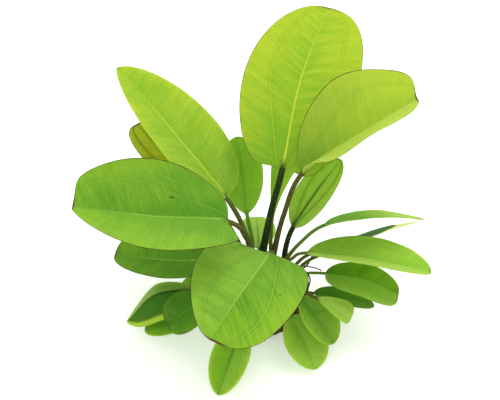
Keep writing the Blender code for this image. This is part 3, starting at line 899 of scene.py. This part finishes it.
def leaf_values(leaf, look, line, left, seed):
    """A row as values for the leaf tree's named inputs, in metres and radians."""
    blade_from = STALK_STRETCHES * CURVE_STEPS
    blade_rows, columns = LARGE_GRID if leaf["width"] > LARGE_BLADE_WIDTH else SMALL_GRID
    first, *middle, last = (math.radians(angle) for angle in leaf["roll"])
    values = {
        "Left": tuple(left), "Blade Start": length_of(line[:blade_from + 1]) / length_of(line),
        "Blade Length": length_of(line[blade_from:]), "Stalk Rows": STALK_ROWS,
        "Blade Rows": blade_rows, "Columns": columns, "Stalk Radius": leaf["stalk"] / 2 * MM,
        "Base Round": leaf["base_round"], "Lobe Place": leaf["lobe_place"], "Base Roll": first,
        "Middle Roll": middle[0] if middle else (first + last) / 2, "Tip Roll": last,
        "Seed": float(seed), "Tone": (look["yellow"], look["dark"], float(seed)),
        "Stalk Tone": (look["stalk"], look["rib"], look["rim"]), "Veins": look["veins"],
        "Sides": (*look["sides"], look["tip_light"]), "Grain": (*look["grain"], 0.0),
        "Mark": look["mark"], "Material": FINISHES[look["finish"]],
    }
    for index, side in enumerate(("Left ", "Right ")):
        half = leaf["width"] / 2 * leaf["halves"][index] * MM
        tip_round = leaf["tip_round"][index]
        values[side + "Width"] = half / fullness(leaf["base_round"], tip_round)
        values[side + "Tip Round"] = tip_round
        for name in ("fold", "curl", "gather"):
            values[side + name.title()] = math.radians(leaf[name][index])
        for name in ("lobe", "crest", "wave"):
            values[side + name.title()] = leaf[name][index] * MM
    return values


def triangles(thing):
    return sum(len(face.vertices) - 2 for face in thing.data.polygons)


def shown(thing, *nodes):
    """Puts a finished piece in place of its CAD nodes."""
    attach(thing, "root")
    if nodes:
        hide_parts(*nodes)
    return thing


grown_leaves = {}
for seed, (name, row) in enumerate(LEAVES.items(), start=1):
    leaf = {**PLAIN_LEAF, **row}
    look = {**PLAIN_LOOK, **LOOKS.get(name, {})}
    line, left = axis_of(leaf)
    axis = bpy.data.meshes.new(name + "_axis")
    axis.from_pydata(line, [(i, i + 1) for i in range(len(line) - 1)], [])
    values = leaf_values(leaf, look, line, left, seed)
    grown_leaves[name] = shown(grow(name + "_grown", axis, LEAF_TREE, values), name)
print("leaves grown:", len(grown_leaves), "triangles:", sum(map(triangles, grown_leaves.values())))

# %% [markdown]
# ## The crown
#
# The crown is the plant's short stem. Every leaf that has gone left a scar round it, and new
# roots push out between the scars. It could be cut from a cylinder, but it tapers, so its outline
# is turned about the upright axis and then pushed in and out: rings for the scars, noise for the
# rest. The same turning makes the heart of the root ball.

# %% Turned skins
PUSHED_FROM = 3


def along_outline(outline, share):
    """A point on an outline of straight stretches, at a share of its length."""
    spans = [math.dist(p, q) for p, q in zip(outline, outline[1:])]
    left = share * sum(spans)
    for p, q, span in zip(outline, outline[1:], spans):
        if left <= span:
            return p[0] + (q[0] - p[0]) * left / span, p[1] + (q[1] - p[1]) * left / span
        left -= span
    return outline[-1]


def turned_skin(name, outline, rings, steps, push, finish):
    """A closed skin turned about Z. push(point) is how far a point moves outwards, in mm."""
    shape = bmesh.new()
    loops = []
    for ring in range(1, rings):
        radius, height = along_outline(outline, ring / rings)
        loop = []
        for step in range(steps):
            angle = math.tau * step / steps
            flat = Vector((math.cos(angle), math.sin(angle), 0))
            point = flat * radius + Vector((0, 0, height))
            point += flat * push(point) * min(1.0, radius / PUSHED_FROM)
            loop.append(shape.verts.new(point * MM))
        loops.append(loop)
    top = shape.verts.new(Vector((0, 0, outline[0][1])) * MM)
    bottom = shape.verts.new(Vector((0, 0, outline[-1][1])) * MM)
    for i in range(steps):
        j = (i + 1) % steps
        shape.faces.new((top, loops[0][i], loops[0][j]))
        shape.faces.new((bottom, loops[-1][j], loops[-1][i]))
        for upper, lower in zip(loops, loops[1:]):
            shape.faces.new((upper[i], lower[i], lower[j], upper[j]))
    bmesh.ops.recalc_face_normals(shape, faces=shape.faces)
    mesh = bpy.data.meshes.new(name)
    shape.to_mesh(mesh)
    shape.free()
    mesh.shade_smooth()
    mesh.materials.append(finish)
    return placed(name, mesh)


def earthy_finish(name, dark, light, spacing, depth, rough):
    """A matt finish of two colours in fibres, spacing apart in millimetres."""
    made, tree = new_finish(name)
    place = object_place(tree)
    x, y, z = place.parts()
    coarse = place.noise(0.3 / (spacing * MM), 3.0)
    fine = vector(x * 2, y * 2, z * 0.5).noise(1.0 / (spacing * MM), 4.0, 0.65)
    share = (coarse - 0.5) * 1.4 + (fine - 0.5) * 1.6 + 0.45
    colour = blend(share, dark, light)
    show(tree, skin(tree, colour, rough + (fine - 0.5) * 0.3, fine, depth)[0])
    return made


CROWN_DARK = (0.035, 0.03, 0.012)
CROWN_LIGHT = (0.22, 0.20, 0.07)
CROWN_FINISH = earthy_finish("crown_skin", CROWN_DARK, CROWN_LIGHT, 1.2, 0.4, 0.6)
SCAR_SPACING = 1.6
SCAR_SLANT = 0.3
SCAR_DEPTH = 0.35
CROWN_ROUGHNESS = 0.9
CROWN_LUMPS = 0.35


def crown_push(point):
    turns = point.z / SCAR_SPACING + SCAR_SLANT * math.atan2(point.y, point.x)
    return SCAR_DEPTH * math.sin(math.tau * turns) + CROWN_ROUGHNESS * noise.noise(point * CROWN_LUMPS)


crown = shown(turned_skin("crown_grown", CROWN_OUTLINE, 60, 72, crown_push, CROWN_FINISH), "crown")
print("crown:", triangles(crown), "triangles")

# %% [markdown]
# ## The root ball
#
# The roots filled a small pot and kept its shape: a dark mat with hundreds of roots running down
# and round its outside. They could be drawn one by one, but they all follow one rule, so a second
# tree lays them. Each root is a line with its own start, drift and depth, and every point of it
# is brought to the nearest place on the mat. A circle swept along the lines makes them solid.

# %% Root mat
MAT_DARK = (0.012, 0.008, 0.005)
MAT_LIGHT = (0.10, 0.065, 0.035)
MAT_FINISH = earthy_finish("root_mat", MAT_DARK, MAT_LIGHT, 0.8, 0.8, 0.85)
MAT_SHRINK = 0.9
MAT_ROUGHNESS = 1.6
MAT_LUMPS = 0.22
MAT_GRIT = 0.7


def mat_push(point):
    lumps = noise.noise(point * MAT_LUMPS) + 0.5 * noise.noise(point * MAT_GRIT)
    return MAT_ROUGHNESS * lumps - MAT_SHRINK


mat = turned_skin("root_mat", BALL_OUTLINE, 70, 120, mat_push, MAT_FINISH)
print("root mat:", triangles(mat), "triangles")

# %% Root tree
ROOT_INPUTS = {
    "Roots": 200, "Points": 40, "Radius": 0.0004, "Proud": 0.0006, "Drift": 1.2,
    "Highest": 0.03, "Lowest": 0.0, "Wander": 0.006, "Seed": 1,
}
ROOT_SIDES = 5
START_OUT = 0.03
ROOT_TOPS = (0.6, 1.0)
ROOT_ENDS = (0.0, 0.5)
ROOT_STAND_OFF = (0.1, 1.0)
ROOT_THICKNESS = (0.5, 1.3)
ROOT_TAPER = 0.5
ROOT_SWAY = 0.8


def root_tree():
    tree, given = geometry_tree("roots", ROOT_INPUTS)
    add = partial(Wire.node, tree)
    line = add("GeometryNodeCurvePrimitiveLine")
    line = add("GeometryNodeResampleCurve", {"Curve": line, "Count": given("Points")})
    lines = add("GeometryNodeDuplicateElements", {"Geometry": line, "Amount": given("Roots")},
                domain="SPLINE")
    index = add("GeometryNodeInputIndex")
    root = (index / given("Points") + ROUNDING).math("FLOOR")
    u = (index - root * given("Points")) / (given("Points") - 1)

    def chance(low, high, salt):
        """A random value for each root."""
        sockets = {2: low, 3: high, "ID": root, "Seed": given("Seed") + salt}
        return add("FunctionNodeRandomValue", sockets, 1, data_type="FLOAT")

    sway = vector(u * 3, root * 1.37, given("Seed")).noise(1.0, 2.0) - 0.5
    angle = chance(0.0, math.tau, 1) + chance(-1.0, 1.0, 2) * given("Drift") * u + sway * ROOT_SWAY
    top = chance(*ROOT_TOPS, 3) * given("Highest")
    low = given("Lowest") + chance(*ROOT_ENDS, 4) * given("Highest")
    wander = vector(u * 4, root * 2.1, given("Seed") + 9).noise(1.0) - 0.5
    height = top + (low - top) * u + wander * given("Wander")
    near = vector(angle.math("COSINE") * START_OUT, angle.math("SINE") * START_OUT, height)
    sockets = {0: given("Geometry"), "Sample Position": near}
    mat_spot = add("GeometryNodeProximity", sockets, "Position", target_element="FACES")
    stand_off = given("Proud") * chance(*ROOT_STAND_OFF, 5) * (u * math.pi).math("SINE")
    x, y, z = (mat_spot + (near - mat_spot).unit() * stand_off).parts()
    thick = given("Radius") * chance(*ROOT_THICKNESS, 6) * (1 - u * ROOT_TAPER)
    place = vector(x, y, z.math("MAXIMUM", thick))
    laid = add("GeometryNodeSetPosition", {"Geometry": lines, "Position": place})
    laid = keep_attributes(tree, laid, {"root_tone": vector(chance(0.0, 1.0, 7), u, root)})
    ring = add("GeometryNodeCurvePrimitiveCircle", {"Resolution": ROOT_SIDES, "Radius": 1.0})
    sockets = {"Curve": laid, "Profile Curve": ring, "Scale": thick, "Fill Caps": True}
    tube = add("GeometryNodeCurveToMesh", sockets)
    smooth = add("GeometryNodeSetShadeSmooth", {0: tube})
    give_out(tree, smooth, given("Material"))
    return tree


ROOT_TREE = root_tree()
ROOT_DARK = (0.025, 0.012, 0.008)
ROOT_LIGHT = (0.19, 0.12, 0.06)
ROOT_TIP = (0.42, 0.34, 0.20)
ROOT_RELIEF = 0.15


def root_finish(name, dark, light, tip):
    """Root skin: each root has its own shade, and it is paler towards its growing end."""
    made, tree = new_finish(name)
    shade, u, _ = attribute(tree, "root_tone").parts()
    spots = object_place(tree).noise(900.0, 3.0, 0.6)
    colour = blend(shade + (spots - 0.5) * 0.8, dark, light)
    colour = blend(u.smooth(0.75, 1.0) * 0.6, colour, tip)
    show(tree, skin(tree, colour, 0.55 + (spots - 0.5) * 0.3, spots, ROOT_RELIEF)[0])
    return made


ROOT_FINISH = root_finish("root_skin", ROOT_DARK, ROOT_LIGHT, ROOT_TIP)


# One row for each kind of root, with its values in the order of ROOT_INPUTS.
ROOT_KINDS = {
    "stout_roots": (190, 44, 0.55 * MM, 1.0 * MM, 0.9, 31 * MM, -2 * MM, 7 * MM, 3),
    "fine_roots": (420, 34, 0.22 * MM, 1.5 * MM, 2.6, 31 * MM, 0.0, 12 * MM, 11),
    "looped_roots": (34, 40, 0.35 * MM, 6 * MM, 1.1, 31 * MM, 4 * MM, 8 * MM, 5),
}
laid = []
for name, row in ROOT_KINDS.items():
    values = {**dict(zip(ROOT_INPUTS, row)), "Material": ROOT_FINISH}
    laid.append(grow(name, mat.data.copy(), ROOT_TREE, values))
for piece in (mat, *laid):
    shown(piece, "root_ball")
print("roots:", ", ".join(f"{piece.name} {triangles(piece)}" for piece in laid), "triangles")

# %% Loose threads
# A few old roots stand free of the ball beside the crown. Thickness, then points, in millimetres.
THREADS = [
    (1.1, [(19, 7, 29), (22, 8, 32), (25, 9, 33), (26.5, 10, 37), (28, 10, 41)]),
    (0.8, [(17, 8, 32), (22, 8, 35), (27, 8, 33), (31, 8, 32.5), (34, 8, 30)]),
    (0.4, [(3, 7, 44), (3.2, 7, 51), (4.5, 7, 55), (6, 7, 54), (5.8, 7, 50), (4.5, 7, 45)]),
    (1.2, [(19, 2, 31), (24, 1, 33), (26, 0, 27), (25.5, -1, 20), (22, -2, 14)]),
    (0.9, [(15, 4, 30), (22, 3, 37), (27, 3, 31), (27.5, 2, 24), (23, 2, 15)]),
]


def loose_threads(name):
    path = bpy.data.curves.new(name, "CURVE")
    path.dimensions = "3D"
    path.bevel_depth = MM / 2
    path.bevel_resolution = 3
    path.use_fill_caps = True
    for thickness, points in THREADS:
        spline = path.splines.new("NURBS")
        spline.points.add(len(points) - 1)
        for knot, point in zip(spline.points, points):
            knot.co = (*(Vector(point) * MM), 1.0)
            knot.radius = thickness
        spline.order_u = 4
        spline.use_endpoint_u = True
    drawn = bpy.data.objects.new(name + "_path", path)
    mesh = bpy.data.meshes.new_from_object(drawn)
    mesh.shade_smooth()
    mesh.materials.clear()
    mesh.materials.append(ROOT_FINISH)
    bpy.data.objects.remove(drawn)
    return placed(name, mesh)


threads = shown(loose_threads("loose_threads"), "root_ball")
print("loose threads:", triangles(threads), "triangles")

# %% [markdown]
# ## The table and the light
#
# The plant was photographed on a bright white table with soft light from above. A lit white
# floor and a pale world give that: the world lights the leaves from behind, so that they glow,
# and one soft lamp overhead puts a gentle shadow under each leaf.

# %% Floor and lights
FLOOR_SIZE = 6.0
FLOOR_WHITE = (0.90, 0.91, 0.89)
WORLD_WHITE = (1.0, 1.0, 1.0, OPAQUE)
WORLD_STRENGTH = 1.0
FLOOR_GLOW = 0.38
PLANT_MIDDLE = Vector((0.0, 0.0, 0.06))
# A lamp's place and size are in metres, and its power is in watts.
LAMPS = {"key": ((0.25, 0.10, 0.75), 0.5, 2.6), "fill": ((-0.8, -1.6, 1.4), 1.2, 6.0)}

floor_mesh = bpy.data.meshes.new("floor")
half = FLOOR_SIZE / 2
corners = [(-half, -half, 0), (half, -half, 0), (half, half, 0), (-half, half, 0)]
floor_mesh.from_pydata(corners, [], [(0, 1, 2, 3)])
floor = placed("floor", floor_mesh)
floor_finish, floor_tree = new_finish("white_table")
floor_grain = object_place(floor_tree).noise(40.0)
floor_sockets = {"Base Color": FLOOR_WHITE, "Roughness": 0.22 + floor_grain * 0.04,
                 "Emission Color": FLOOR_WHITE, "Emission Strength": FLOOR_GLOW}
show(floor_tree, Wire.node(floor_tree, "ShaderNodeBsdfPrincipled", floor_sockets))
floor_mesh.materials.append(floor_finish)

world = bpy.data.worlds.new("studio")
world.use_nodes = True
sky = world.node_tree.nodes["Background"].inputs
sky["Color"].default_value = WORLD_WHITE
sky["Strength"].default_value = WORLD_STRENGTH
scene.world = world

for name, (place, size, power) in LAMPS.items():
    lamp = bpy.data.lights.new(name, "AREA")
    lamp.shape = "DISK"
    lamp.size = size
    lamp.energy = power
    thing = placed(name, lamp)
    thing.location = place
    thing.rotation_euler = (PLANT_MIDDLE - Vector(place)).to_track_quat("-Z", "Y").to_euler()
scene.view_settings.view_transform = "Standard"
print("lights: a pale world, a key and a fill")
